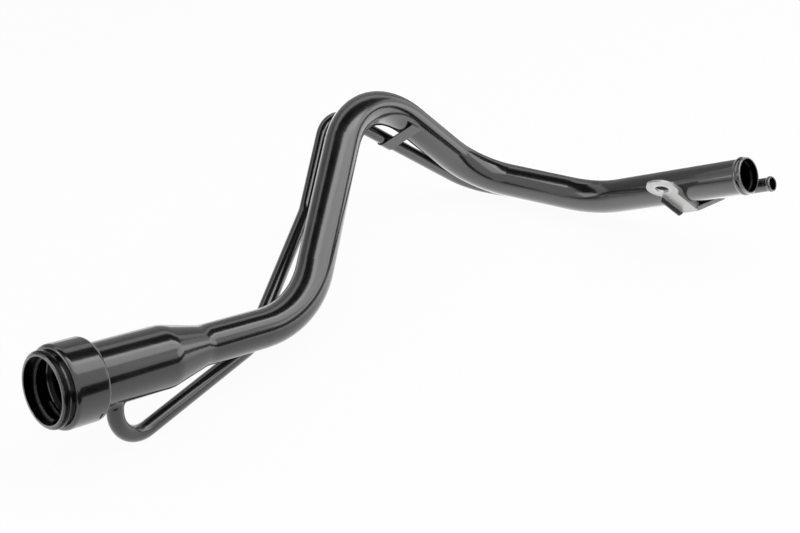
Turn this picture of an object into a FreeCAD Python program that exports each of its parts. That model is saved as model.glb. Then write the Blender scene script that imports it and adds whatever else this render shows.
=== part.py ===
import FreeCAD, Part
import math
import os

# Fuel filler neck, in millimetres. Z is up and the part lies as it comes to
# rest: on the breather tube, at its hook near the mouth and along its low run
# under the last two bends. X is the long way, mouth at -X, hose end at +X.

os.makedirs("parts", exist_ok=True)
V = FreeCAD.Vector

# Filler pipe: corner points of its centre line and the bend radius at each
pipe_od = 35.0
pipe_wall = 1.5
mouth = V(-350.0, -128.5, 78.0)
corner_1 = V(-100.5, -50.0, 27.5)
corner_2 = V(50.5, 144.5, 157.5)
corner_3 = V(182.0, 130.0, 28.0)
corner_4 = V(264.5, 19.5, 25.5)
hose_end = V(327.0, -130.5, 102.5)
pipe_bends = [105.0, 83.0, 70.0, 109.0]

# Wide neck of the same tube: distances run inwards from the mouth
neck_od = 53.2
neck_front = 29.0
cone_from = 108.0
cone_to = 154.0
cone_blend = 30.0

# Rolled bead that keeps the hose on
bead_height = 1.2
bead_width = 5.0
bead_setback = 3.0

# Breather tube
vent_od = 14.0
vent_wall = 1.0
root_station = 58.337
root_sink = 4.62
root_angle = 213.76
vent_corner_1 = V(-305.0, -133.5, 4.55)
vent_corner_2 = V(-155.0, -54.0, 15.0)
vent_corner_3 = V(-42.5, 71.0, 63.5)
vent_corner_4 = V(21.5, 150.0, 127.5)
vent_low_x = 184.5
vent_low_back = 129.5
vent_bends = [28.0, 30.0, 30.0, 35.0, 49.0, 70.0]
vent_end_past_hose = 9.0
vent_beside_pipe = 3.0
vent_beside_angle = -40.0
nipple_bead_height = 0.8
nipple_bead_width = 4.0

# Collar around the mouth
collar_step = 5.7
collar_front = 9.2
collar_rear = 40.0
collar_wall = 1.6
collar_round = 3.5
drain_length = 7.0
drain_width = 1.8
drain_setback = 6.0
drain_angle = 238.0

# Pressed cap seat: rolled lip, threaded mouth, sleeve down into the neck
lip_od = 61.6
lip_depth = 5.2
lip_edge = 1.2
mouth_bore = 53.6
seat_wall = 1.5
seat_shoulder = 21.0
seat_end = 48.0
thread_height = 2.4
thread_width = 3.2
thread_pitch = 9.0
thread_turns = 1.15
thread_from = 5.0

# Strap between the pipe and the breather tube, below the top bend
strap_station = 76.5
strap_width = 13.0
strap_thick = 1.5
strap_pad = 12.0
strap_wrap = 150.0

# Bolt-on bracket under the last run of the pipe
bracket_station = 106.5
bracket_width = 19.0
bracket_thick = 2.5
bracket_slope = 47.0
ear_reach = 31.4
ear_radius = 15.5
bolt_hole = 13.5
foot_flare = 15.0
foot_rib = 2.0
flange_height = 5.5
flange_thick = 1.6

# Fits and joints
slip_gap = 0.1
hole_gap = 0.05
weld_size = 2.4

pipe_r = 0.5 * pipe_od
vent_r = 0.5 * vent_od
neck_r = 0.5 * neck_od


def unit(v):
    w = V(v)
    w.normalize()
    return w


def route(points, radii):
    """Straight runs joined by tangent arcs, as a list of edges."""
    edges = []
    last = points[0]
    for i, radius in enumerate(radii):
        corner = points[i + 1]
        back = unit(points[i] - corner)
        on = unit(points[i + 2] - corner)
        half = 0.5 * back.getAngle(on)
        reach = radius / math.tan(half)
        start = corner + back * reach
        end = corner + on * reach
        middle = corner + unit(back + on) * (radius / math.sin(half) - radius)
        edges.append(Part.LineSegment(last, start).toShape())
        edges.append(Part.Arc(start, middle, end).toShape())
        last = end
    edges.append(Part.LineSegment(last, points[-1]).toShape())
    return edges


def ring_face(centre, axis, outer, inner):
    """Flat ring across a tube."""
    big = Part.Wire(Part.makeCircle(outer, centre, axis))
    small = Part.Wire(Part.makeCircle(inner, centre, axis))
    return Part.makeFace([big, small], "Part::FaceMakerBullseye")


def swept(edges, outer, inner):
    """Hollow tube along a route of runs and arcs."""
    start = edges[0].valueAt(edges[0].FirstParameter)
    along = edges[0].tangentAt(edges[0].FirstParameter)
    face = ring_face(start, along, outer, inner)
    return Part.Wire(edges).makePipe(face)


def side_of(axis):
    """A direction square to an axis, as level as it can be."""
    return unit(V(0, 0, 1).cross(axis))


def turned(origin, axis, outline):
    """Solid of revolution from (distance along, radius) points.

    An item of four numbers is an arc: its end point and a point it passes.
    """
    out = side_of(axis)

    def at(s, r):
        return origin + axis * s + out * r

    edges = []
    here = outline[0]
    for item in outline[1:] + [outline[0]]:
        a = at(here[0], here[1])
        b = at(item[0], item[1])
        if len(item) == 4:
            edges.append(Part.Arc(a, at(item[2], item[3]), b).toShape())
        else:
            edges.append(Part.LineSegment(a, b).toShape())
        here = item[:2]
    face = Part.Face(Part.Wire(edges))
    return face.revolve(origin, axis, 360)


def quarter(s0, r0, s1, r1, cs, cr):
    """Arc item from (s0, r0) to (s1, r1) about the centre (cs, cr)."""
    radius = math.hypot(s0 - cs, r0 - cr)
    ms = 0.5 * (s0 + s1) - cs
    mr = 0.5 * (r0 + r1) - cr
    k = radius / math.hypot(ms, mr)
    return (s1, r1, cs + ms * k, cr + mr * k)


def rod(base, axis, radius, length):
    return Part.makeCylinder(radius, length, base, axis)


def block(origin, ex, ey, ez, x, y, z):
    """Box between two corners given in a turned frame."""
    corners = []
    for k in (z[0], z[1]):
        ring = []
        for a, b in ((x[0], y[0]), (x[1], y[0]), (x[1], y[1]), (x[0], y[1])):
            ring.append(origin + ex * a + ey * b + ez * k)
        corners.append(ring)
    base = corners[0]
    face = Part.Face(Part.makePolygon(base + [base[0]]))
    return face.extrude(corners[1][0] - base[0])


def save(name, shape):
    solid = shape
    if shape.ShapeType != "Solid":
        solid = shape.Solids[0] if len(shape.Solids) == 1 else shape
    solid.exportStep("parts/" + name + ".step")
    print(name, round(solid.Volume), len(solid.Solids), solid.isValid())


# Axes of the runs that carry other pieces
inward = unit(corner_1 - mouth)
level = side_of(inward)
above = unit(inward.cross(level))
run_2 = unit(corner_3 - corner_2)
run_4 = unit(hose_end - corner_4)
run_length = (hose_end - corner_4).Length
back_4 = unit(run_4.cross(V(0, 0, 1))) * -1
up_4 = unit(V(0, 0, 1) - run_4 * run_4.z)


def beside(station, back, up):
    """Point beside the last run of the pipe."""
    return corner_4 + run_4 * station + back_4 * back + up_4 * up


# Filler pipe: wide neck and cone, bent run, beaded hose end
drop = neck_r - pipe_r
span = cone_to - cone_from
tilt = math.atan2(drop, span)
for _ in range(6):
    turn = cone_blend * math.tan(0.5 * tilt)
    tilt = math.atan2(drop, span - 2 * turn)
turn = cone_blend * math.tan(0.5 * tilt)
lean_s = turn * math.cos(tilt)
lean_r = turn * math.sin(tilt)
dip = cone_blend * (1 - math.cos(0.5 * tilt))
reach = cone_blend * math.sin(0.5 * tilt)


def neck_side(inset):
    """Outline of the neck from its front to the end of the cone."""
    knee_1 = cone_from + turn
    knee_2 = cone_to - turn
    wide = neck_r - inset
    slim = pipe_r - inset
    return [
        (neck_front, wide),
        (cone_from, wide),
        (knee_1 + lean_s, wide - lean_r, cone_from + reach, wide - dip),
        (knee_2 - lean_s, slim + lean_r),
        (cone_to, slim, cone_to - reach, slim + dip),
    ]


outer_side = neck_side(0)
inner_side = neck_side(pipe_wall)
back_way = [inner_side[4][:2]]
back_way.append(inner_side[3][:2] + inner_side[4][2:])
back_way.append(inner_side[2][:2])
back_way.append(inner_side[1][:2] + inner_side[2][2:])
back_way.append(inner_side[0])
neck = turned(mouth, inward, outer_side + back_way)

cone_end = mouth + inward * cone_to
bead_zone = bead_setback + bead_width
bead_start = hose_end - run_4 * bead_zone
bent_points = [cone_end, corner_1, corner_2, corner_3, corner_4, bead_start]
bent = swept(route(bent_points, pipe_bends), pipe_r, pipe_r - pipe_wall)

bead_mid = 0.5 * bead_width
bead_in = pipe_r - pipe_wall
hose_tail = turned(bead_start, run_4, [
    (0, pipe_r),
    (bead_width, pipe_r, bead_mid, pipe_r + bead_height),
    (bead_zone - 0.6, pipe_r),
    (bead_zone, pipe_r - 0.6),
    (bead_zone, bead_in),
    (bead_width, bead_in),
    (0, bead_in, bead_mid, bead_in + bead_height),
])
filler_pipe = neck.fuse([bent, hose_tail]).removeSplitter()

# Breather tube, with its end inside the neck wall and a beaded nipple
root_swing = math.radians(root_angle)
root_way = level * math.sin(root_swing) + above * math.cos(root_swing)
vent_root = mouth + inward * root_station + root_way * (neck_r - root_sink)
vent_low_1 = V(vent_low_x, vent_low_back + pipe_r, vent_r)
apart = pipe_r + vent_r + vent_beside_pipe
vent_back = apart * math.cos(math.radians(vent_beside_angle))
vent_up = apart * math.sin(math.radians(vent_beside_angle))
vent_end = beside(run_length + vent_end_past_hose, vent_back, vent_up)
vent_low_2 = vent_end - run_4 * ((vent_end.z - vent_r) / run_4.z)
nipple_start = vent_end - run_4 * nipple_bead_width
vent_points = [vent_root, vent_corner_1, vent_corner_2, vent_corner_3]
vent_points += [vent_corner_4, vent_low_1, vent_low_2, nipple_start]
vent_in = vent_r - vent_wall
vent_bent = swept(route(vent_points, vent_bends), vent_r, vent_in)
nipple_mid = 0.5 * nipple_bead_width
nipple = turned(nipple_start, run_4, [
    (0, vent_r),
    (nipple_bead_width, vent_r, nipple_mid, vent_r + nipple_bead_height),
    (nipple_bead_width, vent_in),
    (0, vent_in),
])
vent_tube = vent_bent.fuse(nipple).removeSplitter()
root_run = unit(vent_corner_1 - vent_root)
vent_hole = rod(vent_root - root_run * 2, root_run, vent_r + hole_gap, 3 * root_sink)
filler_pipe = filler_pipe.cut(vent_hole)

# Collar: drum with both ends turned in, to the cap seat and to the neck
c_a = collar_front
c_b = collar_rear
c_q = collar_round
seat_r = 0.5 * mouth_bore + seat_wall
c_r = seat_r + collar_step
c_in = c_r - collar_wall
front_hole = seat_r + slip_gap
rear_hole = neck_r + slip_gap
collar = turned(mouth, inward, [
    (c_a, front_hole),
    (c_a, c_r - c_q),
    quarter(c_a, c_r - c_q, c_a + c_q, c_r, c_a + c_q, c_r - c_q),
    (c_b - c_q, c_r),
    quarter(c_b - c_q, c_r, c_b, c_r - c_q, c_b - c_q, c_r - c_q),
    (c_b, rear_hole),
    (c_b - collar_wall, rear_hole),
    (c_b - collar_wall, c_r - c_q),
    quarter(c_b - collar_wall, c_r - c_q, c_b - c_q, c_in, c_b - c_q, c_r - c_q),
    (c_a + c_q, c_in),
    quarter(c_a + c_q, c_in, c_a + collar_wall, c_r - c_q, c_a + c_q, c_r - c_q),
    (c_a + collar_wall, front_hole),
])
swing = math.radians(drain_angle)
drain_out = level * math.sin(swing) + above * math.cos(swing)
drain_side = inward.cross(drain_out)
half_drain = 0.5 * drain_width
drain_s = (c_b - drain_setback - half_drain, c_b - drain_setback + half_drain)
drain = block(mouth, inward, drain_side, drain_out, drain_s,
              (-0.5 * drain_length, 0.5 * drain_length), (c_in - 2, c_r + 2))
neck_collar = collar.cut(drain)

# Cap seat: rolled lip outside, threaded mouth, sleeve inside the neck
m_r = 0.5 * mouth_bore
l_r = 0.5 * lip_od
l_s = lip_depth - lip_edge
l_n = l_r - m_r - 0.5
sleeve_r = neck_r - pipe_wall - slip_gap
sleeve_in = sleeve_r - seat_wall
step_end = seat_shoulder + seat_r - sleeve_r
cap_seat = turned(mouth, inward, [
    (0.5, m_r),
    quarter(0.5, m_r, 0, m_r + 0.5, 0.5, m_r + 0.5),
    quarter(0, m_r + 0.5, l_s, l_r, l_n, m_r + 0.5),
    (lip_depth, l_r),
    (lip_depth, l_r - lip_edge),
    (lip_depth - 0.5, l_r - lip_edge),
    (lip_depth - 0.5, seat_r),
    (seat_shoulder, seat_r),
    (step_end, sleeve_r),
    (seat_end, sleeve_r),
    (seat_end, sleeve_in),
    (step_end - 0.6, sleeve_in),
    (seat_shoulder - 0.6, m_r),
])

# Coarse cap thread, rolled inwards from the mouth wall
grip = 0.4
root = 0.5 * thread_width
tip = 0.3 * thread_width
helix = Part.makeHelix(thread_pitch, thread_pitch * thread_turns, m_r)
profile = Part.makePolygon([
    V(m_r + grip, 0, -root),
    V(m_r + grip, 0, root),
    V(m_r - thread_height, 0, tip),
    V(m_r - thread_height, 0, -tip),
    V(m_r + grip, 0, -root),
])
thread = Part.Wire(helix.Edges).makePipeShell([profile], True, True)
turn_to = FreeCAD.Rotation(V(0, 0, 1), inward)
thread_at = mouth + inward * (thread_from + root)
thread.Placement = FreeCAD.Placement(thread_at, turn_to)
cap_seat = cap_seat.fuse(thread)

# Strap: flat across the near side of both tubes, wrapped under the breather
strap_at = corner_2 + run_2 * strap_station
run_v = unit(vent_low_1 - vent_corner_4)
to_strap = strap_at - vent_corner_4
vent_at = vent_corner_4 + run_v * to_strap.dot(run_v)
toward = strap_at - vent_at
toward = toward - run_v * toward.dot(run_v)
reach_s = toward.Length
e1 = unit(toward)
e2 = unit(run_v.cross(e1))
pinch = (vent_r - pipe_r) / reach_s
lift = math.sqrt(1 - pinch * pinch)
m = e1 * pinch + e2 * lift
flat = unit(e1 - m * e1.dot(m))
flat_length = reach_s * lift
g_in = vent_r + slip_gap
g_out = g_in + strap_thick
half_w = 0.5 * strap_width
plate = block(vent_at, flat, run_v, m, (0, flat_length + strap_pad),
              (-half_w, half_w), (g_in, g_out))
hoop_base = vent_at - run_v * half_w
hoop = rod(hoop_base, run_v, g_out, strap_width)
hoop = hoop.cut(rod(hoop_base, run_v, g_in, strap_width))
end_turn = math.radians(strap_wrap)
wedge_points = [hoop_base]
for share in (0, 0.5, 1):
    swing = share * end_turn
    ray = m * math.cos(swing) - flat * math.sin(swing)
    wedge_points.append(hoop_base + ray * (3 * g_out))
wedge_points.append(hoop_base)
wedge = Part.Face(Part.makePolygon(wedge_points)).extrude(run_v * strap_width)
pipe_strap = plate.fuse(hoop.common(wedge)).cut(filler_pipe).removeSplitter()

# Bracket: sloping plate with the bolt ear, folded level under both tubes
slope = math.radians(bracket_slope)
down = back_4 * math.cos(slope) - up_4 * math.sin(slope)
face_out = back_4 * -math.sin(slope) - up_4 * math.cos(slope)
b_in = pipe_r + slip_gap
b_out = b_in + bracket_thick
b_half = 0.5 * bracket_width
floor_in = vent_up - vent_r - slip_gap
b_mid = beside(bracket_station, 0, 0)
fold_in = (-b_in * math.cos(slope) - floor_in) / math.sin(slope)
fold_back = fold_in * math.cos(slope) - b_in * math.sin(slope)
floor_end = vent_back + 0.6 * vent_r
arm = block(b_mid, down, run_4, face_out, (-ear_reach, fold_in + 2 * bracket_thick),
            (-b_half, b_half), (b_in, b_out))
ear_at = b_mid + down * -ear_reach + face_out * b_in
ear = rod(ear_at, face_out, ear_radius, bracket_thick)
under_from = fold_back - 2 * bracket_thick
under_low = b_mid + up_4 * (floor_in - bracket_thick)
under_points = [
    under_low + back_4 * under_from - run_4 * b_half,
    under_low + back_4 * under_from + run_4 * b_half,
    under_low + back_4 * fold_back + run_4 * b_half,
    under_low + back_4 * floor_end + run_4 * (b_half + foot_flare),
    under_low + back_4 * floor_end - run_4 * (b_half + foot_flare),
    under_low + back_4 * fold_back - run_4 * b_half,
]
under_points.append(under_points[0])
under = Part.Face(Part.makePolygon(under_points)).extrude(up_4 * bracket_thick)
keep_arm = block(b_mid, back_4, run_4, up_4, (-90, 90), (-40, 40),
                 (floor_in - bracket_thick, 60))
keep_under = block(b_mid, down, run_4, face_out, (-90, 90), (-40, 40), (-60, b_out))
bolt = rod(ear_at - face_out * 5, face_out, 0.5 * bolt_hole, 15)
sheet = arm.fuse(ear).common(keep_arm).fuse(under.common(keep_under))
rib_low = block(b_mid, down, run_4, face_out, (-0.55 * ear_reach, fold_in),
                (-b_half, -b_half + flange_thick), (b_out - 0.5, b_out + flange_height))
rib_low = rib_low.common(keep_arm)
rib_high = block(b_mid, down, run_4, face_out, (-0.95 * ear_reach, fold_in),
                 (b_half - flange_thick, b_half), (b_in - flange_height, b_in + 0.5))
edge_run = unit(under_points[3] - under_points[2])
edge_side = unit(up_4.cross(edge_run))
edge_base = under_points[2] + up_4 * bracket_thick
edge_length = (under_points[3] - under_points[2]).Length
rib_floor = block(edge_base, edge_run, edge_side, up_4, (-1, edge_length),
                  (-flange_thick, 0), (-0.5, foot_rib))
rib_floor = rib_floor.common(keep_under)
bracket = sheet.fuse([rib_low, rib_high, rib_floor]).cut(bolt)
pipe_room = rod(beside(20, 0, 0), run_4, pipe_r + slip_gap, run_length)
near_vent = rod(vent_low_2, run_4, vent_r + slip_gap, run_length)
mounting_bracket = bracket.cut(pipe_room).cut(near_vent).removeSplitter()

# Weld and braze beads
w = weld_size
neck_weld = turned(mouth, inward, [
    (c_b, neck_r),
    (c_b, neck_r + w),
    quarter(c_b, neck_r + w, c_b + w, neck_r, c_b, neck_r),
])
skirt = Part.makeCone(vent_r + w + 1.0, vent_r + 0.6, 6.0, vent_root, root_run)
neck_rod = rod(mouth, inward, neck_r, 100)
vent_rod = rod(vent_root - root_run * 5, root_run, vent_r, 30)
vent_root_weld = skirt.cut(neck_rod).cut(vent_rod)


def wedge_bead(tube, plate, at, along, out, aside, tube_r, offset, length):
    """Bead in the wedge between a tube and a plate that touches it.

    The plate faces the tube at tube_r along out; the bead lies offset aside.
    """
    radius = 0.75 * weld_size
    base = at + out * (tube_r - 0.4 * radius) + aside * offset
    bead = rod(base - along * (0.5 * length), along, radius, length)
    plate_side = block(at, out, aside, along, (0, tube_r + slip_gap),
                       (-60, 60), (-60, 60))
    filled = bead.common(plate_side).cut(tube).cut(plate)
    return max(filled.Solids, key=lambda piece: piece.Volume)


foot_at = beside(bracket_station - 5, vent_back, vent_up)
bracket_pipe_weld = wedge_bead(filler_pipe, mounting_bracket, b_mid, run_4,
                               face_out, down, pipe_r, 8.6, 16)
bracket_vent_weld = wedge_bead(vent_tube, mounting_bracket, foot_at, run_4,
                               up_4 * -1, back_4 * -1, vent_r, 5.2, 9)
strap_long = strap_width - 3
strap_pipe_weld = wedge_bead(filler_pipe, pipe_strap, strap_at, run_v,
                             m, flat * -1, pipe_r, 6.5, strap_long)
strap_vent_weld = wedge_bead(vent_tube, pipe_strap, vent_at, run_v,
                             m, flat, vent_r, 5.2, strap_long)

save("filler_pipe", filler_pipe)
save("neck_collar", neck_collar)
save("cap_seat", cap_seat)
save("vent_tube", vent_tube)
save("pipe_strap", pipe_strap)
save("mounting_bracket", mounting_bracket)
save("neck_weld", neck_weld)
save("vent_root_weld", vent_root_weld)
save("bracket_pipe_weld", bracket_pipe_weld)
save("bracket_vent_weld", bracket_vent_weld)
save("strap_pipe_weld", strap_pipe_weld)
save("strap_vent_weld", strap_vent_weld)
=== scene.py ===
import math

import bpy
import numpy as np
from mathutils import Matrix, Vector


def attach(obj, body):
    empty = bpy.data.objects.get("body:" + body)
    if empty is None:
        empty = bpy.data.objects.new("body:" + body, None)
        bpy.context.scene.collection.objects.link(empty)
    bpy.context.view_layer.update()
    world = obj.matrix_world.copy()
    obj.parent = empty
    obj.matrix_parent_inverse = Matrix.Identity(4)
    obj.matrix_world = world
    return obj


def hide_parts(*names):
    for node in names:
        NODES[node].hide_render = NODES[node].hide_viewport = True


bl_info = {
    "name": "Fuel Filler Neck",
    "version": (1, 0, 0),
    "blender": (4, 5, 0),
    "location": "View3D > Sidebar > Filler Neck",
    "description": "Paints, welds and lights a bent fuel filler neck",
    "category": "Object",
}

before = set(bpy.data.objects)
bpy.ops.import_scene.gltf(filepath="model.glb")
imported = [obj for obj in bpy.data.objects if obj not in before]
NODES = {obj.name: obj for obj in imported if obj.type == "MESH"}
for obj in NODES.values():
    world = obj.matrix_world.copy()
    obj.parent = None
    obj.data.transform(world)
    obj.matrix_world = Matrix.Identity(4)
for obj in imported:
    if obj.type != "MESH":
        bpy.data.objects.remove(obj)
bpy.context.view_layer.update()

# Places on the part and radii, in metres, and directions
MOUTH = np.array([-0.350, -0.1285, 0.078])
INWARD = np.array([0.93660, 0.29468, -0.18957])
HOSE_END = np.array([0.327, -0.1305, 0.1025])
HOSE_OUT = np.array([0.34757, -0.83417, 0.42821])
BREATHER_END = np.array([0.352485, -0.136892, 0.09038])
ROOT = np.array([-0.295, -0.124, 0.049])
ROOT_DOWN = np.array([-0.21459, -0.20386, -0.95519])
EAR = np.array([0.267358, -0.078882, 0.080239])
EAR_OUT = np.array([-0.562774, -0.550861, -0.616309])
NECK_RADIUS = 0.0266
BREATHER_RADIUS = 0.007
COLLAR_LENGTH = 0.040

# Colours beside those of the settings
BARE_STEEL = (0.42, 0.42, 0.41)
DUST = (0.075, 0.075, 0.073)
RUBBED_EAR = (0.55, 0.55, 0.545)
# Painted shade: near-black for the bracket's outer flange, which faces away from the
# lamps
PAINTED_FLANGE_SHADE = (0.012, 0.012, 0.012)

# Soft widths of the edges of a ring mask, in metres
SHARP = 0.00004
CRISP = 0.0003


def unit(v):
    """A vector or rows of vectors scaled to length one."""
    v = np.asarray(v, float)
    return v / np.linalg.norm(v, axis=-1, keepdims=True)


def square_pair(axis):
    """Two directions square to an axis and to each other."""
    axis = unit(axis)
    first = unit(np.cross(axis, [0.0, 0.0, 1.0]))
    return first, np.cross(axis, first)


# Settings


class FILLER_PG_paint(bpy.types.PropertyGroup):
    """Black paint on the tubes."""

    colour: bpy.props.FloatVectorProperty(
        name="Paint colour", description="Colour of the black paint",
        subtype="COLOR", size=3, default=(0.006, 0.006, 0.0065), min=0, max=1)
    # Painted shade: a darker copy of the paint colour, for the cap seat inside the mouth
    inside: bpy.props.FloatVectorProperty(
        name="Inside colour", description="Colour of the paint inside the mouth",
        subtype="COLOR", size=3, default=(0.004, 0.004, 0.0045), min=0, max=1)
    roughness: bpy.props.FloatProperty(
        name="Paint roughness", description="Roughness of the paint film",
        default=0.16, min=0, max=1)
    index: bpy.props.FloatProperty(
        name="Paint index", description="Index of refraction of the paint",
        default=1.6, min=1, max=3)
    gloss: bpy.props.FloatProperty(
        name="Gloss", description="Weight of the clear top coat",
        default=0.8, min=0, max=1)
    peel: bpy.props.FloatProperty(
        name="Orange peel", description="Height of the waves in the paint film",
        unit="LENGTH", default=0.00004, min=0, max=0.001)
    # Also sets the strength of the painted highlight on the collar's far edge
    rub: bpy.props.FloatProperty(
        name="Rubbed edges", description="How far paint is worn from thin edges",
        default=0.55, min=0, max=1)


class FILLER_PG_steel(bpy.types.PropertyGroup):
    """Plated sheet steel of the bracket."""

    colour: bpy.props.FloatVectorProperty(
        name="Steel colour", description="Colour of the plated sheet",
        subtype="COLOR", size=3, default=(0.43, 0.43, 0.425), min=0, max=1)
    roughness: bpy.props.FloatProperty(
        name="Steel roughness", description="Roughness of the plated sheet",
        default=0.42, min=0, max=1)


class FILLER_PG_weld(bpy.types.PropertyGroup):
    """Weld beads."""

    size: bpy.props.FloatProperty(
        name="Bead size", description="Width of the bead on each face",
        unit="LENGTH", default=0.0024, min=0.001, max=0.006)
    pitch: bpy.props.FloatProperty(
        name="Ripple pitch", description="Distance between two ripples",
        unit="LENGTH", default=0.0018, min=0.0005, max=0.01)
    ripple: bpy.props.FloatProperty(
        name="Ripple height", description="Height of a ripple",
        unit="LENGTH", default=0.00012, min=0, max=0.001)


class FILLER_PG_stage(bpy.types.PropertyGroup):
    """Floor, lamps and camera."""

    floor: bpy.props.FloatVectorProperty(
        name="Floor colour", description="Colour of the paper sweep",
        subtype="COLOR", size=3, default=(0.86, 0.86, 0.86), min=0, max=1)
    strip_power: bpy.props.FloatProperty(
        name="Strip softbox", description="Power of the narrow softbox straight above",
        unit="POWER", default=8.5, min=0)
    top_power: bpy.props.FloatProperty(
        name="Top softbox", description="Power of the wide softbox above the near side",
        unit="POWER", default=14.5, min=0)
    end_power: bpy.props.FloatProperty(
        name="End softbox", description="Power of the upright softbox past the hose end",
        unit="POWER", default=9.5, min=0)
    side_power: bpy.props.FloatProperty(
        name="Side softbox", description="Power of the softbox by the mouth",
        unit="POWER", default=3.0, min=0)
    lens: bpy.props.FloatProperty(
        name="Lens", description="Focal length of the camera in millimetres",
        default=60.2, min=10, max=300)


# Surfaces


def closed_mesh(name, points):
    """Mesh from a grid of points: quads join neighbours, closed both ways."""
    rows, columns = points.shape[:2]
    i, j = np.meshgrid(np.arange(rows), np.arange(columns), indexing="ij")
    i, j = i.ravel(), j.ravel()
    i_next, j_next = (i + 1) % rows, (j + 1) % columns
    quads = np.stack([i * columns + j, i_next * columns + j,
                      i_next * columns + j_next, i * columns + j_next], axis=1)
    mesh = bpy.data.meshes.new(name)
    mesh.from_pydata(points.reshape(-1, 3).tolist(), [], quads.tolist())
    mesh.polygons.foreach_set("use_smooth", np.ones(len(quads), dtype=bool))
    mesh.update()
    return mesh


def place(name, mesh, material, replaced):
    """A piece of the part made from a mesh, in place of CAD nodes."""
    piece = bpy.data.objects.new(name, mesh)
    bpy.context.scene.collection.objects.link(piece)
    mesh.materials.append(material)
    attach(piece, "root")
    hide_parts(*replaced)


def ripples(along, across, pitch, height):
    """Weld ripples: rounded crests whose front bows out in the middle.

    The height is the size of a half sine along the bead, with its phase
    pushed on by the square of the distance from the middle of the bead.
    """
    bow, mean = 0.55, 0.6
    phase = along / pitch - bow * (2 * across - 1) ** 2
    return height * (np.abs(np.sin(math.pi * phase)) - mean)


def ring_bead(weld):
    """Bead round the neck where it leaves the collar.

    A quarter circle of the bead's size turned about the neck's axis, with the
    ripples and a slow swell added to its radius. The flat inner sides lie on
    neck and collar and meet at one more point in each row.
    """
    turns, steps = 1040, 15
    swell, swells = 0.03, 5
    u = np.linspace(0, 2 * math.pi, turns, endpoint=False)[:, None]
    v = np.linspace(0, 1, steps)[None, :]
    girth = 2 * math.pi * NECK_RADIUS
    pitch = girth / round(girth / weld.pitch)
    size = weld.size * (1 + swell * np.sin(swells * u))
    size = size + ripples(u * NECK_RADIUS, v, pitch, weld.ripple)
    angle = v * 0.5 * math.pi
    s = COLLAR_LENGTH + size * np.sin(angle)
    r = NECK_RADIUS + size * np.cos(angle)
    s = np.concatenate([s, np.full_like(u, COLLAR_LENGTH)], axis=1)
    r = np.concatenate([r, np.full_like(u, NECK_RADIUS)], axis=1)
    side, over = square_pair(INWARD)
    out = np.cos(u)[..., None] * side + np.sin(u)[..., None] * over
    points = MOUTH + s[..., None] * INWARD + r[..., None] * out
    return closed_mesh("neck bead", points)


def root_bead(weld):
    """Bead round the breather tube where it enters the neck.

    Round the tube's axis, each ray first meets the neck: the height there is
    the root of a quadratic for the distance to the neck's axis. The bead
    climbs from that line to the tube along a hollow quarter circle. Two more
    points in each row close it inside the wall of the tube.
    """
    turns, steps = 220, 12
    fullness, hollow, rise = 1.05, 0.93, 1.15
    inside, below, sunk = 0.0002, 0.0004, 0.00015
    down = unit(ROOT_DOWN)
    side, over = square_pair(down)
    u = np.linspace(0, 2 * math.pi, turns, endpoint=False)[:, None]
    v = np.linspace(0, 1, steps)[None, :]
    angle = v * 0.5 * math.pi
    size = weld.size * fullness
    size = size + ripples(u * BREATHER_RADIUS, v, weld.pitch, weld.ripple)
    reach = size * (1 - hollow * np.sin(angle))
    climb = rise * size * (1 - np.cos(angle))
    wall = np.full_like(u, -inside)
    reach = np.concatenate([reach, wall, wall], axis=1)
    climb = np.concatenate([climb, climb[:, -1:], np.full_like(u, -below)], axis=1)
    radius = BREATHER_RADIUS + reach
    out = np.cos(u)[..., None] * side + np.sin(u)[..., None] * over
    base = ROOT + radius[..., None] * out - MOUTH
    axis = unit(INWARD)
    base_flat = base - (base @ axis)[..., None] * axis
    down_flat = down - (down @ axis) * axis
    a = down_flat @ down_flat
    b = base_flat @ down_flat
    c = (base_flat ** 2).sum(-1) - NECK_RADIUS ** 2
    height = (-b + np.sqrt(np.maximum(b * b - a * c, 0))) / a
    points = MOUTH + base + (height + climb - sunk)[..., None] * down
    return closed_mesh("root bead", points)


# Shader groups


def new_node(tree, kind, values=None, **fields):
    """A node with its fields and the plain values of its inputs set."""
    node = tree.nodes.new(kind)
    for key, value in fields.items():
        setattr(node, key, value)
    for key, value in (values or {}).items():
        node.inputs[key].default_value = value
    return node


def maths(tree, operation, first, second=None, third=None, clamp=False):
    """A Math node fed by sockets or numbers; gives its output socket."""
    node = new_node(tree, "ShaderNodeMath", operation=operation, use_clamp=clamp)
    for index, item in enumerate((first, second, third)):
        if item is None:
            continue
        if isinstance(item, (int, float)):
            node.inputs[index].default_value = item
        else:
            tree.links.new(item, node.inputs[index])
    return node.outputs[0]


def vector_maths(tree, operation, first, second):
    """A Vector Math node fed by two sockets."""
    node = new_node(tree, "ShaderNodeVectorMath", operation=operation)
    tree.links.new(first, node.inputs[0])
    tree.links.new(second, node.inputs[1])
    return node


def noise(tree, coords, scale, detail=2.0, rough=0.5):
    """A noise value from 0 to 1 on the given coordinates."""
    node = new_node(tree, "ShaderNodeTexNoise",
                    {"Scale": scale, "Detail": detail, "Roughness": rough})
    tree.links.new(coords, node.inputs["Vector"])
    return node.outputs[0]


def ramp(tree, value, low, high, out_low=0.0, out_high=1.0):
    """A value eased from one level to another between two limits."""
    node = new_node(tree, "ShaderNodeMapRange", {
        "From Min": low, "From Max": high, "To Min": out_low, "To Max": out_high})
    node.interpolation_type = "SMOOTHSTEP"
    tree.links.new(value, node.inputs["Value"])
    return node.outputs["Result"]


def cover(tree, under, colour, share):
    """A plain colour laid over another by the given share."""
    mix = new_node(tree, "ShaderNodeMix", data_type="RGBA")
    mix.inputs["B"].default_value = (*colour, 1)
    tree.links.new(share, mix.inputs["Factor"])
    tree.links.new(under, mix.inputs["A"])
    return mix.outputs["Result"]


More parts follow.
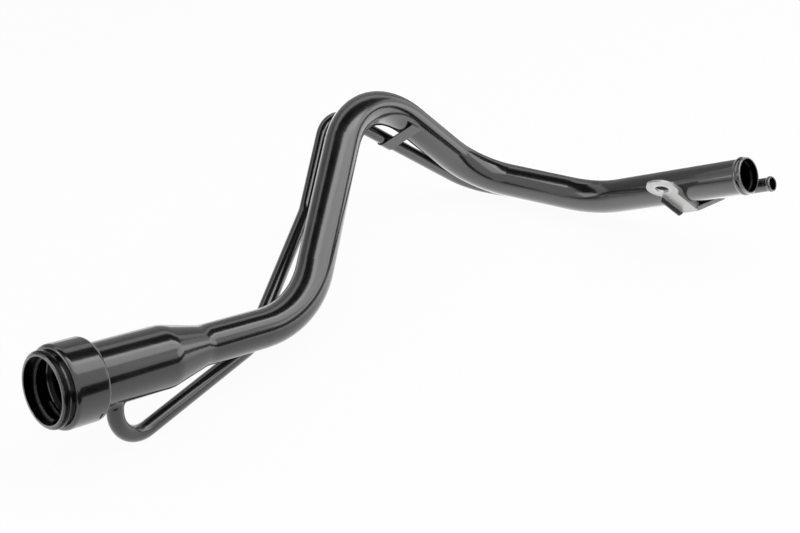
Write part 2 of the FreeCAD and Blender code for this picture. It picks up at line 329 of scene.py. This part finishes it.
def group_of(name, inputs, outputs):
    """An empty shader group with named sockets."""
    tree = bpy.data.node_groups.new(name, "ShaderNodeTree")
    for label, kind, value in inputs:
        made = tree.interface.new_socket(name=label, in_out="INPUT", socket_type=kind)
        if value is not None:
            made.default_value = value
    for label, kind in outputs:
        tree.interface.new_socket(name=label, in_out="OUTPUT", socket_type=kind)
    entry = tree.nodes.new("NodeGroupInput")
    leave = tree.nodes.new("NodeGroupOutput")
    return tree, entry, leave


def film_group():
    """Paint film: waves, fine grain, dust and faint handling marks."""
    tree, entry, leave = group_of("paint film", [
        ("Vector", "NodeSocketVector", None),
        ("Colour", "NodeSocketColor", (0.01, 0.01, 0.01, 1)),
        ("Roughness", "NodeSocketFloat", 0.15),
        ("Dust", "NodeSocketFloat", 0.3),
    ], [
        ("Colour", "NodeSocketColor"),
        ("Roughness", "NodeSocketFloat"),
        ("Height", "NodeSocketFloat"),
    ])
    at = entry.outputs["Vector"]
    waves = noise(tree, at, scale=120.0, detail=3.0)
    grain = noise(tree, at, scale=1500.0)
    lumps = noise(tree, at, scale=45.0)
    height = maths(tree, "MULTIPLY_ADD", grain, 0.12, waves)
    height = maths(tree, "MULTIPLY_ADD", lumps, 4.0, height)
    tree.links.new(height, leave.inputs["Height"])
    blotch = noise(tree, at, scale=22.0, detail=5.0, rough=0.62)
    smear = ramp(tree, blotch, 0.46, 0.72)
    specks = ramp(tree, noise(tree, at, scale=900.0, detail=1.0), 0.70, 0.78)
    dust = maths(tree, "MULTIPLY_ADD", smear, 0.5, specks, clamp=True)
    dust = maths(tree, "MULTIPLY", dust, entry.outputs["Dust"])
    shade = cover(tree, entry.outputs["Colour"], DUST,
                  maths(tree, "MULTIPLY", dust, 0.45))
    tree.links.new(shade, leave.inputs["Colour"])
    rough = maths(tree, "MULTIPLY_ADD", dust, 0.22, entry.outputs["Roughness"])
    rough = maths(tree, "MULTIPLY_ADD", grain, 0.05, rough)
    tree.links.new(rough, leave.inputs["Roughness"])


def ring_group():
    """Ring mask: one between two places along an axis and two radii round it.

    The place is the dot product with the axis, and the radius is the length
    of the cross product. Each limit is a ramp as wide as Soft, the ramps are
    multiplied, and noise makes their edges wander by a few soft widths.
    """
    tree, entry, leave = group_of("ring mask", [
        ("Vector", "NodeSocketVector", None),
        ("Centre", "NodeSocketVector", (0, 0, 0)),
        ("Axis", "NodeSocketVector", (0, 0, 1)),
        ("From", "NodeSocketFloat", 0.0),
        ("To", "NodeSocketFloat", 0.001),
        ("Inner Radius", "NodeSocketFloat", 0.0),
        ("Outer Radius", "NodeSocketFloat", 1.0),
        ("Soft", "NodeSocketFloat", CRISP),
    ], [("Mask", "NodeSocketFloat")])
    at, axis = entry.outputs["Vector"], entry.outputs["Axis"]
    away = vector_maths(tree, "SUBTRACT", at, entry.outputs["Centre"]).outputs[0]
    along = vector_maths(tree, "DOT_PRODUCT", away, axis)
    cross = vector_maths(tree, "CROSS_PRODUCT", away, axis)
    size = new_node(tree, "ShaderNodeVectorMath", operation="LENGTH")
    tree.links.new(cross.outputs[0], size.inputs[0])
    ragged = noise(tree, at, scale=420.0, detail=4.0, rough=0.65)
    soft = entry.outputs["Soft"]
    wander = maths(tree, "MULTIPLY", maths(tree, "SUBTRACT", ragged, 0.5), soft)
    s = maths(tree, "MULTIPLY_ADD", wander, 3.0, along.outputs["Value"])
    r = maths(tree, "MULTIPLY_ADD", wander, 3.0, size.outputs["Value"])
    mask = None
    for value, low, high in ((s, "From", "To"), (r, "Inner Radius", "Outer Radius")):
        rise = maths(tree, "SUBTRACT", value, entry.outputs[low])
        rise = maths(tree, "DIVIDE", rise, soft, clamp=True)
        fall = maths(tree, "SUBTRACT", entry.outputs[high], value)
        fall = maths(tree, "DIVIDE", fall, soft, clamp=True)
        both = maths(tree, "MULTIPLY", rise, fall)
        mask = both if mask is None else maths(tree, "MULTIPLY", mask, both)
    tree.links.new(mask, leave.inputs["Mask"])


def zinc_group():
    """Plated sheet: pale blotches, rolling lines and stains."""
    tree, entry, leave = group_of("zinc sheet", [
        ("Vector", "NodeSocketVector", None),
        ("Colour", "NodeSocketColor", (0.6, 0.6, 0.6, 1)),
        ("Roughness", "NodeSocketFloat", 0.4),
    ], [
        ("Colour", "NodeSocketColor"),
        ("Roughness", "NodeSocketFloat"),
        ("Height", "NodeSocketFloat"),
    ])
    at = entry.outputs["Vector"]
    turn = new_node(tree, "ShaderNodeMapping", {
        "Rotation": (0.6, 0.2, 0.9), "Scale": (40.0, 900.0, 900.0)})
    tree.links.new(at, turn.inputs["Vector"])
    lines = noise(tree, turn.outputs["Vector"], scale=1.0)
    blotch = noise(tree, at, scale=90.0, detail=5.0, rough=0.6)
    stain = noise(tree, at, scale=38.0, detail=4.0, rough=0.6)
    stain = ramp(tree, stain, 0.55, 0.75)
    shade = maths(tree, "MULTIPLY_ADD", blotch, 0.35, 0.80)
    shade = maths(tree, "MULTIPLY_ADD", lines, 0.10, shade)
    shade = maths(tree, "MULTIPLY_ADD", stain, -0.22, shade)
    tint = new_node(tree, "ShaderNodeVectorMath", operation="SCALE")
    tree.links.new(entry.outputs["Colour"], tint.inputs[0])
    tree.links.new(shade, tint.inputs["Scale"])
    tree.links.new(tint.outputs[0], leave.inputs["Colour"])
    rough = maths(tree, "MULTIPLY_ADD", blotch, 0.25, entry.outputs["Roughness"])
    rough = maths(tree, "SUBTRACT", rough, 0.12)
    tree.links.new(rough, leave.inputs["Roughness"])
    height = maths(tree, "MULTIPLY_ADD", lines, 0.5, blotch)
    tree.links.new(height, leave.inputs["Height"])


# Materials


def blank_material(name):
    """A material with one Principled shader, and Object coordinates."""
    material = bpy.data.materials.new(name)
    material.use_nodes = True
    tree = material.node_tree
    tree.nodes.clear()
    output = tree.nodes.new("ShaderNodeOutputMaterial")
    shader = tree.nodes.new("ShaderNodeBsdfPrincipled")
    coords = tree.nodes.new("ShaderNodeTexCoord")
    tree.links.new(shader.outputs[0], output.inputs["Surface"])
    return material, tree, shader, coords.outputs["Object"]


def use_group(tree, group_name, at, values):
    """A shader group placed in a material, on the given coordinates."""
    node = tree.nodes.new("ShaderNodeGroup")
    node.node_tree = bpy.data.node_groups[group_name]
    tree.links.new(at, node.inputs["Vector"])
    for key, value in values.items():
        node.inputs[key].default_value = value
    return node


def bump(tree, shader, height, strength, distance):
    """A Bump node from a height to the shader's normal."""
    node = new_node(tree, "ShaderNodeBump", {"Strength": strength, "Distance": distance})
    tree.links.new(height, node.inputs["Height"])
    tree.links.new(node.outputs["Normal"], shader.inputs["Normal"])


def ring(centre, axis, start, stop, inner, outer, soft=CRISP):
    """Values of one ring mask, with its places and radii in metres."""
    return {"Centre": tuple(centre), "Axis": tuple(axis), "From": start, "To": stop,
            "Inner Radius": inner, "Outer Radius": outer, "Soft": soft}


def bore(centre, axis, start, stop, radius):
    """Values of a sharp ring mask that fills a bore out to its radius."""
    past_axis = -0.01
    return ring(centre, axis, start, stop, past_axis, radius, SHARP)


def ring_masks(tree, at, rings):
    """The greatest of several ring masks at each point, or None for no rings."""
    greatest = None
    for values in rings:
        mask = use_group(tree, "ring mask", at, values).outputs["Mask"]
        if greatest is None:
            greatest = mask
        else:
            greatest = maths(tree, "MAXIMUM", greatest, mask)
    return greatest


def paint_material(name, colour, paint, dust, rings=(), hollows=()):
    """Black paint, worn to bare steel in the given rings; on the collar the bare
    steel is a painted highlight.

    In the hollows shade is painted in: the film turns into a black metal
    with hardly any top coat, which reflects next to nothing.
    """
    coat_roughness = 0.05
    steel_roughness, steel_share = 0.2, 0.7
    hollow_roughness, hollow_share = 0.12, 0.93
    material, tree, shader, at = blank_material(name)
    film = use_group(tree, "paint film", at, {
        "Colour": (*colour, 1), "Roughness": paint.roughness, "Dust": dust})
    shader.inputs["IOR"].default_value = paint.index
    shader.inputs["Coat Roughness"].default_value = coat_roughness
    shader.inputs["Coat Weight"].default_value = paint.gloss
    shade = film.outputs["Colour"]
    rough = film.outputs["Roughness"]
    metal = None
    # The rings are wear, apart from the collar's far edge, which is a painted highlight
    worn = ring_masks(tree, at, rings)
    if worn is not None:
        worn = maths(tree, "MULTIPLY", worn, paint.rub)
        shade = cover(tree, shade, BARE_STEEL, worn)
        rough = maths(tree, "MULTIPLY_ADD", worn, steel_roughness, rough)
        metal = maths(tree, "MULTIPLY", worn, steel_share)
    # Painted shade: in the hollows the paint becomes a dark metal with little top coat
    painted_shade = ring_masks(tree, at, hollows)
    if painted_shade is not None:
        rough = maths(tree, "MULTIPLY_ADD", painted_shade, hollow_roughness, rough)
        painted_shade = maths(tree, "MULTIPLY", painted_shade, hollow_share)
        metal = painted_shade if metal is None else maths(tree, "MAXIMUM", metal, painted_shade)
        clear = maths(tree, "SUBTRACT", 1.0, painted_shade)
        clear = maths(tree, "MULTIPLY", clear, paint.gloss)
        tree.links.new(clear, shader.inputs["Coat Weight"])
    if metal is not None:
        tree.links.new(metal, shader.inputs["Metallic"])
    tree.links.new(shade, shader.inputs["Base Color"])
    tree.links.new(rough, shader.inputs["Roughness"])
    bump(tree, shader, film.outputs["Height"], 1.0, paint.peel)
    return material


def coat(name, material):
    """Gives a CAD node its one material."""
    mesh = NODES[name].data
    mesh.materials.clear()
    mesh.materials.append(material)


# Operators


class FILLER_OT_finishes(bpy.types.Operator):
    """Build the shader groups that the finishes share"""

    bl_idname = "filler.finishes"
    bl_label = "Shared Finishes"

    def execute(self, context):
        film_group()
        ring_group()
        zinc_group()
        return {"FINISHED"}


class FILLER_OT_filler_pipe(bpy.types.Operator):
    """Paint the filler pipe, with its hose end and bead rubbed"""

    bl_idname = "filler.filler_pipe"
    bl_label = "Filler Pipe"

    def execute(self, context):
        paint = context.scene.filler_paint
        cut_edge = ring(HOSE_END, HOSE_OUT, -0.0007, 0.001, 0.0155, 0.019)
        bead = ring(HOSE_END, HOSE_OUT, -0.0062, -0.0048, 0.0183, 0.020, 0.0005)
        # Painted shade: the bores at the hose end and behind the mouth reflect next to
        # nothing
        hollows = [
            bore(HOSE_END, HOSE_OUT, -0.08, -0.0007, 0.0173),
            bore(MOUTH, INWARD, 0.02, 0.112, 0.0256),
            bore(MOUTH, INWARD, 0.11, 0.17, 0.0163),
        ]
        material = paint_material(
            "pipe paint", paint.colour, paint, 0.35, [cut_edge, bead], hollows)
        coat("filler_pipe", material)
        return {"FINISHED"}


class FILLER_OT_breather_tube(bpy.types.Operator):
    """Paint the breather tube, with its nipple rubbed"""

    bl_idname = "filler.breather_tube"
    bl_label = "Breather Tube"

    def execute(self, context):
        paint = context.scene.filler_paint
        cut_edge = ring(BREATHER_END, HOSE_OUT, -0.0006, 0.001, 0.0055, 0.009)
        bead = ring(BREATHER_END, HOSE_OUT, -0.0026, -0.0014, 0.0074, 0.009, 0.0004)
        # Painted shade: the breather's bore reflects next to nothing
        hollows = [bore(BREATHER_END, HOSE_OUT, -0.05, -0.0007, 0.0061)]
        material = paint_material(
            "breather paint", paint.colour, paint, 0.35, [cut_edge, bead], hollows)
        coat("vent_tube", material)
        return {"FINISHED"}


class FILLER_OT_collar(bpy.types.Operator):
    """Paint the collar round the mouth, with bare steel along its far edge as a painted
    highlight
    """

    bl_idname = "filler.collar"
    bl_label = "Mouth Collar"

    def execute(self, context):
        paint = context.scene.filler_paint
        # Painted highlight: bare steel along the collar's far edge gives a bright line
        # there
        far_edge_highlight = ring(MOUTH, INWARD, 0.0386, 0.0402, 0.0326, 0.0345, 0.0005)
        material = paint_material("collar paint", paint.colour, paint, 0.4, [far_edge_highlight])
        coat("neck_collar", material)
        return {"FINISHED"}


class FILLER_OT_cap_seat(bpy.types.Operator):
    """Paint the cap seat, with its sealing edge and thread rubbed"""

    bl_idname = "filler.cap_seat"
    bl_label = "Cap Seat"

    def execute(self, context):
        paint = context.scene.filler_paint
        sealing_edge = ring(MOUTH, INWARD, -0.0004, 0.0007, 0.0262, 0.0282, 0.0004)
        thread_crest = ring(MOUTH, INWARD, 0.004, 0.021, 0.0240, 0.0247)
        # Painted shade: sleeve, walls between the threads and lip groove reflect next to
        # nothing
        sleeve = bore(MOUTH, INWARD, 0.017, 0.06, 0.0262)
        thread_wall = ring(MOUTH, INWARD, 0.0012, 0.02, 0.0258, 0.0272, SHARP)
        lip_groove = ring(MOUTH, INWARD, 0.0009, 0.0049, 0.0285, 0.0330, 0.0004)
        # Painted shade: the seat takes the darker inside colour of the mouth
        material = paint_material(
            "seat paint", paint.inside, paint, 0.3,
            [sealing_edge, thread_crest], [sleeve, thread_wall, lip_groove])
        coat("cap_seat", material)
        return {"FINISHED"}


class FILLER_OT_strap(bpy.types.Operator):
    """Paint the strap and the beads that hold it"""

    bl_idname = "filler.strap"
    bl_label = "Tube Strap"

    def execute(self, context):
        paint = context.scene.filler_paint
        material = paint_material("strap paint", paint.colour, paint, 0.4)
        for name in ("pipe_strap", "strap_pipe_weld", "strap_vent_weld"):
            coat(name, material)
        return {"FINISHED"}


class FILLER_OT_bracket(bpy.types.Operator):
    """Give the bracket its plated steel with painted shade on its flange, and paint its
    beads
    """

    bl_idname = "filler.bracket"
    bl_label = "Bracket"

    def execute(self, context):
        steel = context.scene.filler_steel
        paint = context.scene.filler_paint
        material, tree, shader, at = blank_material("plated sheet")
        zinc = use_group(tree, "zinc sheet", at, {
            "Colour": (*steel.colour, 1), "Roughness": steel.roughness})
        ear = ring_masks(tree, at, [
            ring(EAR, EAR_OUT, -0.01, 0.01, 0.0, 0.0105, 0.0012)])
        shade = cover(tree, zinc.outputs["Colour"], RUBBED_EAR,
                      maths(tree, "MULTIPLY", ear, 0.6))
        # Painted shade: the outer flange beyond the ear is darkened almost to black, as
        # if in shadow
        flange_shade = ring_masks(tree, at, [
            ring(EAR, EAR_OUT, 0.0017, 0.03, -0.01, 0.09, 0.0007)])
        shade = cover(tree, shade, PAINTED_FLANGE_SHADE, maths(tree, "MULTIPLY", flange_shade, 0.96))
        tree.links.new(shade, shader.inputs["Base Color"])
        tree.links.new(zinc.outputs["Roughness"], shader.inputs["Roughness"])
        shader.inputs["Metallic"].default_value = 0.55
        bump(tree, shader, zinc.outputs["Height"], 0.6, 0.00005)
        coat("mounting_bracket", material)
        beads = paint_material("bead paint", paint.colour, paint, 0.4)
        for name in ("bracket_pipe_weld", "bracket_vent_weld"):
            coat(name, beads)
        return {"FINISHED"}


class FILLER_OT_neck_bead(bpy.types.Operator):
    """Lay the rippled bead between collar and neck"""

    bl_idname = "filler.neck_bead"
    bl_label = "Neck Bead"

    def execute(self, context):
        paint = context.scene.filler_paint
        material = paint_material("neck bead paint", paint.colour, paint, 0.45)
        mesh = ring_bead(context.scene.filler_weld)
        place("neck_bead", mesh, material, ["neck_weld"])
        return {"FINISHED"}


class FILLER_OT_root_bead(bpy.types.Operator):
    """Lay the rippled bead where the breather tube enters the neck"""

    bl_idname = "filler.root_bead"
    bl_label = "Breather Root Bead"

    def execute(self, context):
        paint = context.scene.filler_paint
        material = paint_material("root bead paint", paint.colour, paint, 0.45)
        mesh = root_bead(context.scene.filler_weld)
        place("root_bead", mesh, material, ["vent_root_weld"])
        return {"FINISHED"}


def flat_panel(name, corners, material):
    """A flat stage panel from its four corners."""
    mesh = bpy.data.meshes.new(name)
    mesh.from_pydata([tuple(c) for c in corners], [], [(0, 1, 2, 3)])
    mesh.materials.append(material)
    panel = bpy.data.objects.new(name, mesh)
    bpy.context.scene.collection.objects.link(panel)
    return panel


def seen_plainly(tree):
    """One where a camera, glossy or transmitted ray looks, else nought."""
    path = tree.nodes.new("ShaderNodeLightPath")
    seen = maths(tree, "MAXIMUM", path.outputs["Is Camera Ray"],
                 path.outputs["Is Glossy Ray"])
    return maths(tree, "MAXIMUM", seen, path.outputs["Is Transmission Ray"])


def softbox(name, centre, target, width, height, power):
    """A rectangular lamp that faces a target."""
    data = bpy.data.lights.new(name, "AREA")
    data.shape = "RECTANGLE"
    data.size = width
    data.size_y = height
    data.energy = power
    lamp = bpy.data.objects.new(name, data)
    turn = (Vector(target) - Vector(centre)).to_track_quat("-Z", "Y")
    lamp.matrix_world = Matrix.Translation(centre) @ turn.to_matrix().to_4x4()
    bpy.context.scene.collection.objects.link(lamp)


class FILLER_OT_stage(bpy.types.Operator):
    """Set the floor, the lamps, the flags, the world and the camera"""

    bl_idname = "filler.stage"
    bl_label = "Stage"

    def execute(self, context):
        stage = context.scene.filler_stage
        self.floor(stage)
        self.flags()
        self.world(context)
        softbox("strip softbox", (1.3, -0.05, 1.6), (1.3, -0.05, 0),
                4.0, 0.3, stage.strip_power)
        softbox("top softbox", (1.3, -0.65, 1.6), (1.3, -0.65, 0),
                4.0, 0.9, stage.top_power)
        softbox("end softbox", (3.4, -1.1, 1.0), (0, -1.1, 1.0),
                2.2, 1.15, stage.end_power)
        softbox("side softbox", (-1.5, 0.2, 0.7), (-0.1, 0.0, 0.05),
                0.7, 0.9, stage.side_power)
        self.camera(context, stage)
        return {"FINISHED"}

    def floor(self, stage):
        """Paper that looks white, and brighter in the paint towards the hose end."""
        material = bpy.data.materials.new("paper sweep")
        material.use_nodes = True
        tree = material.node_tree
        tree.nodes.clear()
        output = tree.nodes.new("ShaderNodeOutputMaterial")
        paper = new_node(tree, "ShaderNodeBsdfDiffuse", {"Color": (*stage.floor, 1)})
        white = new_node(tree, "ShaderNodeEmission", {"Color": (1, 1, 1, 1)})
        geometry = tree.nodes.new("ShaderNodeNewGeometry")
        split = tree.nodes.new("ShaderNodeSeparateXYZ")
        tree.links.new(geometry.outputs["Position"], split.inputs[0])
        extra = ramp(tree, split.outputs["X"], -0.1, 0.25, -0.12, 0.8)
        path = tree.nodes.new("ShaderNodeLightPath")
        level = maths(tree, "MULTIPLY_ADD", extra, path.outputs["Is Glossy Ray"], 1.0)
        tree.links.new(level, white.inputs["Strength"])
        mix = tree.nodes.new("ShaderNodeMixShader")
        share = maths(tree, "MULTIPLY", seen_plainly(tree), 0.95)
        tree.links.new(share, mix.inputs[0])
        tree.links.new(paper.outputs[0], mix.inputs[1])
        tree.links.new(white.outputs[0], mix.inputs[2])
        tree.links.new(mix.outputs[0], output.inputs["Surface"])
        z = -0.0002
        flat_panel("floor", [(-6, -6, z), (6, -6, z), (6, 6, z), (-6, 6, z)], material)

    def flags(self):
        """Cloths and cards that only show in the paint, never to the camera."""
        cloth, card = 0.01, 0.7
        panels = [
            ("near cloth", cloth,
             [(-3, -0.36, 0.001), (4, -0.36, 0.001), (4, -3, 0.001), (-3, -3, 0.001)]),
            ("near flag", cloth,
             [(-3, -2.4, 0), (4, -2.4, 0), (4, -2.4, 0.5), (-3, -2.4, 0.5)]),
            ("roof flag", cloth,
             [(-3, 0.15, 1.7), (4, 0.15, 1.7), (4, 1.2, 1.7), (-3, 1.2, 1.7)]),
            ("far card", card,
             [(-3, 2.2, 0), (4, 2.2, 0), (4, 2.2, 1.8), (-3, 2.2, 1.8)]),
            ("end flag", cloth,
             [(3.6, -2.4, 0), (3.6, 2.2, 0), (3.6, 2.2, 0.35), (3.6, -2.4, 0.35)]),
        ]
        for name, shade, corners in panels:
            material = bpy.data.materials.new(name)
            material.use_nodes = True
            shader = material.node_tree.nodes["Principled BSDF"]
            shader.inputs["Base Color"].default_value = (shade, shade, shade, 1)
            shader.inputs["Roughness"].default_value = 1.0
            shader.inputs["Specular IOR Level"].default_value = 0.0
            panel = flat_panel(name, corners, material)
            panel.visible_camera = False
            panel.visible_diffuse = False
            panel.visible_shadow = False

    def world(self, context):
        """White where it is seen, and dimmer where it lights the part."""
        lighting = 0.45
        world = bpy.data.worlds.new("studio")
        context.scene.world = world
        world.use_nodes = True
        tree = world.node_tree
        tree.nodes.clear()
        output = tree.nodes.new("ShaderNodeOutputWorld")
        back = new_node(tree, "ShaderNodeBackground", {"Color": (1, 1, 1, 1)})
        strength = maths(
            tree, "MULTIPLY_ADD", seen_plainly(tree), 1 - lighting, lighting)
        tree.links.new(strength, back.inputs["Strength"])
        tree.links.new(back.outputs[0], output.inputs["Surface"])

    def camera(self, context, stage):
        """The camera that was fitted to the edges of the tubes."""
        data = bpy.data.cameras.new("photo camera")
        data.sensor_width = 36.0
        data.lens = stage.lens
        data.clip_end = 50.0
        camera = bpy.data.objects.new("photo camera", data)
        eye = (-0.49833, -0.98335, 0.65701)
        right = Vector((0.88294, -0.46947, -0.0031))
        down = Vector((-0.2356, -0.43737, -0.86787))
        ahead = Vector((0.40608, 0.76701, -0.49678))
        turn = Matrix((right, -down, -ahead)).transposed()
        camera.matrix_world = Matrix.Translation(eye) @ turn.to_4x4()
        context.scene.collection.objects.link(camera)
        context.scene.camera = camera
        context.scene.view_settings.view_transform = "Standard"


class FILLER_PT_panel(bpy.types.Panel):
    """Lists the pieces of the filler neck"""

    bl_idname = "FILLER_PT_panel"
    bl_label = "Filler Neck"
    bl_space_type = "VIEW_3D"
    bl_region_type = "UI"
    bl_category = "Filler Neck"

    def draw(self, context):
        scene = context.scene
        for title, group, operators in PANEL_ROWS:
            box = self.layout.box()
            box.label(text=title)
            settings = getattr(scene, group)
            for key in settings.__annotations__:
                box.prop(settings, key)
            for idname in operators:
                box.operator(idname)


PANEL_ROWS = [
    ("Paint", "filler_paint", [
        "filler.finishes", "filler.filler_pipe", "filler.breather_tube",
        "filler.collar", "filler.cap_seat", "filler.strap"]),
    ("Bracket", "filler_steel", ["filler.bracket"]),
    ("Welds", "filler_weld", ["filler.neck_bead", "filler.root_bead"]),
    ("Stage", "filler_stage", ["filler.stage"]),
]

GROUPS = [
    ("filler_paint", FILLER_PG_paint),
    ("filler_steel", FILLER_PG_steel),
    ("filler_weld", FILLER_PG_weld),
    ("filler_stage", FILLER_PG_stage),
]

CLASSES = [
    FILLER_PG_paint, FILLER_PG_steel, FILLER_PG_weld, FILLER_PG_stage,
    FILLER_OT_finishes, FILLER_OT_filler_pipe, FILLER_OT_breather_tube,
    FILLER_OT_collar, FILLER_OT_cap_seat, FILLER_OT_strap, FILLER_OT_bracket,
    FILLER_OT_neck_bead, FILLER_OT_root_bead, FILLER_OT_stage, FILLER_PT_panel,
]


def register():
    """Adds the classes and the settings to Blender."""
    for item in CLASSES:
        bpy.utils.register_class(item)
    for name, group in GROUPS:
        setattr(bpy.types.Scene, name, bpy.props.PointerProperty(type=group))


def unregister():
    """Takes the settings and the classes out of Blender."""
    for name, group in reversed(GROUPS):
        delattr(bpy.types.Scene, name)
    for item in reversed(CLASSES):
        bpy.utils.unregister_class(item)


def main():
    """Builds every piece and the stage."""
    register()
    bpy.ops.filler.finishes()
    bpy.ops.filler.filler_pipe()
    bpy.ops.filler.breather_tube()
    bpy.ops.filler.collar()
    bpy.ops.filler.cap_seat()
    bpy.ops.filler.strap()
    bpy.ops.filler.bracket()
    bpy.ops.filler.neck_bead()
    bpy.ops.filler.root_bead()
    bpy.ops.filler.stage()
    bpy.context.view_layer.update()


if __name__ == "__main__":
    main()
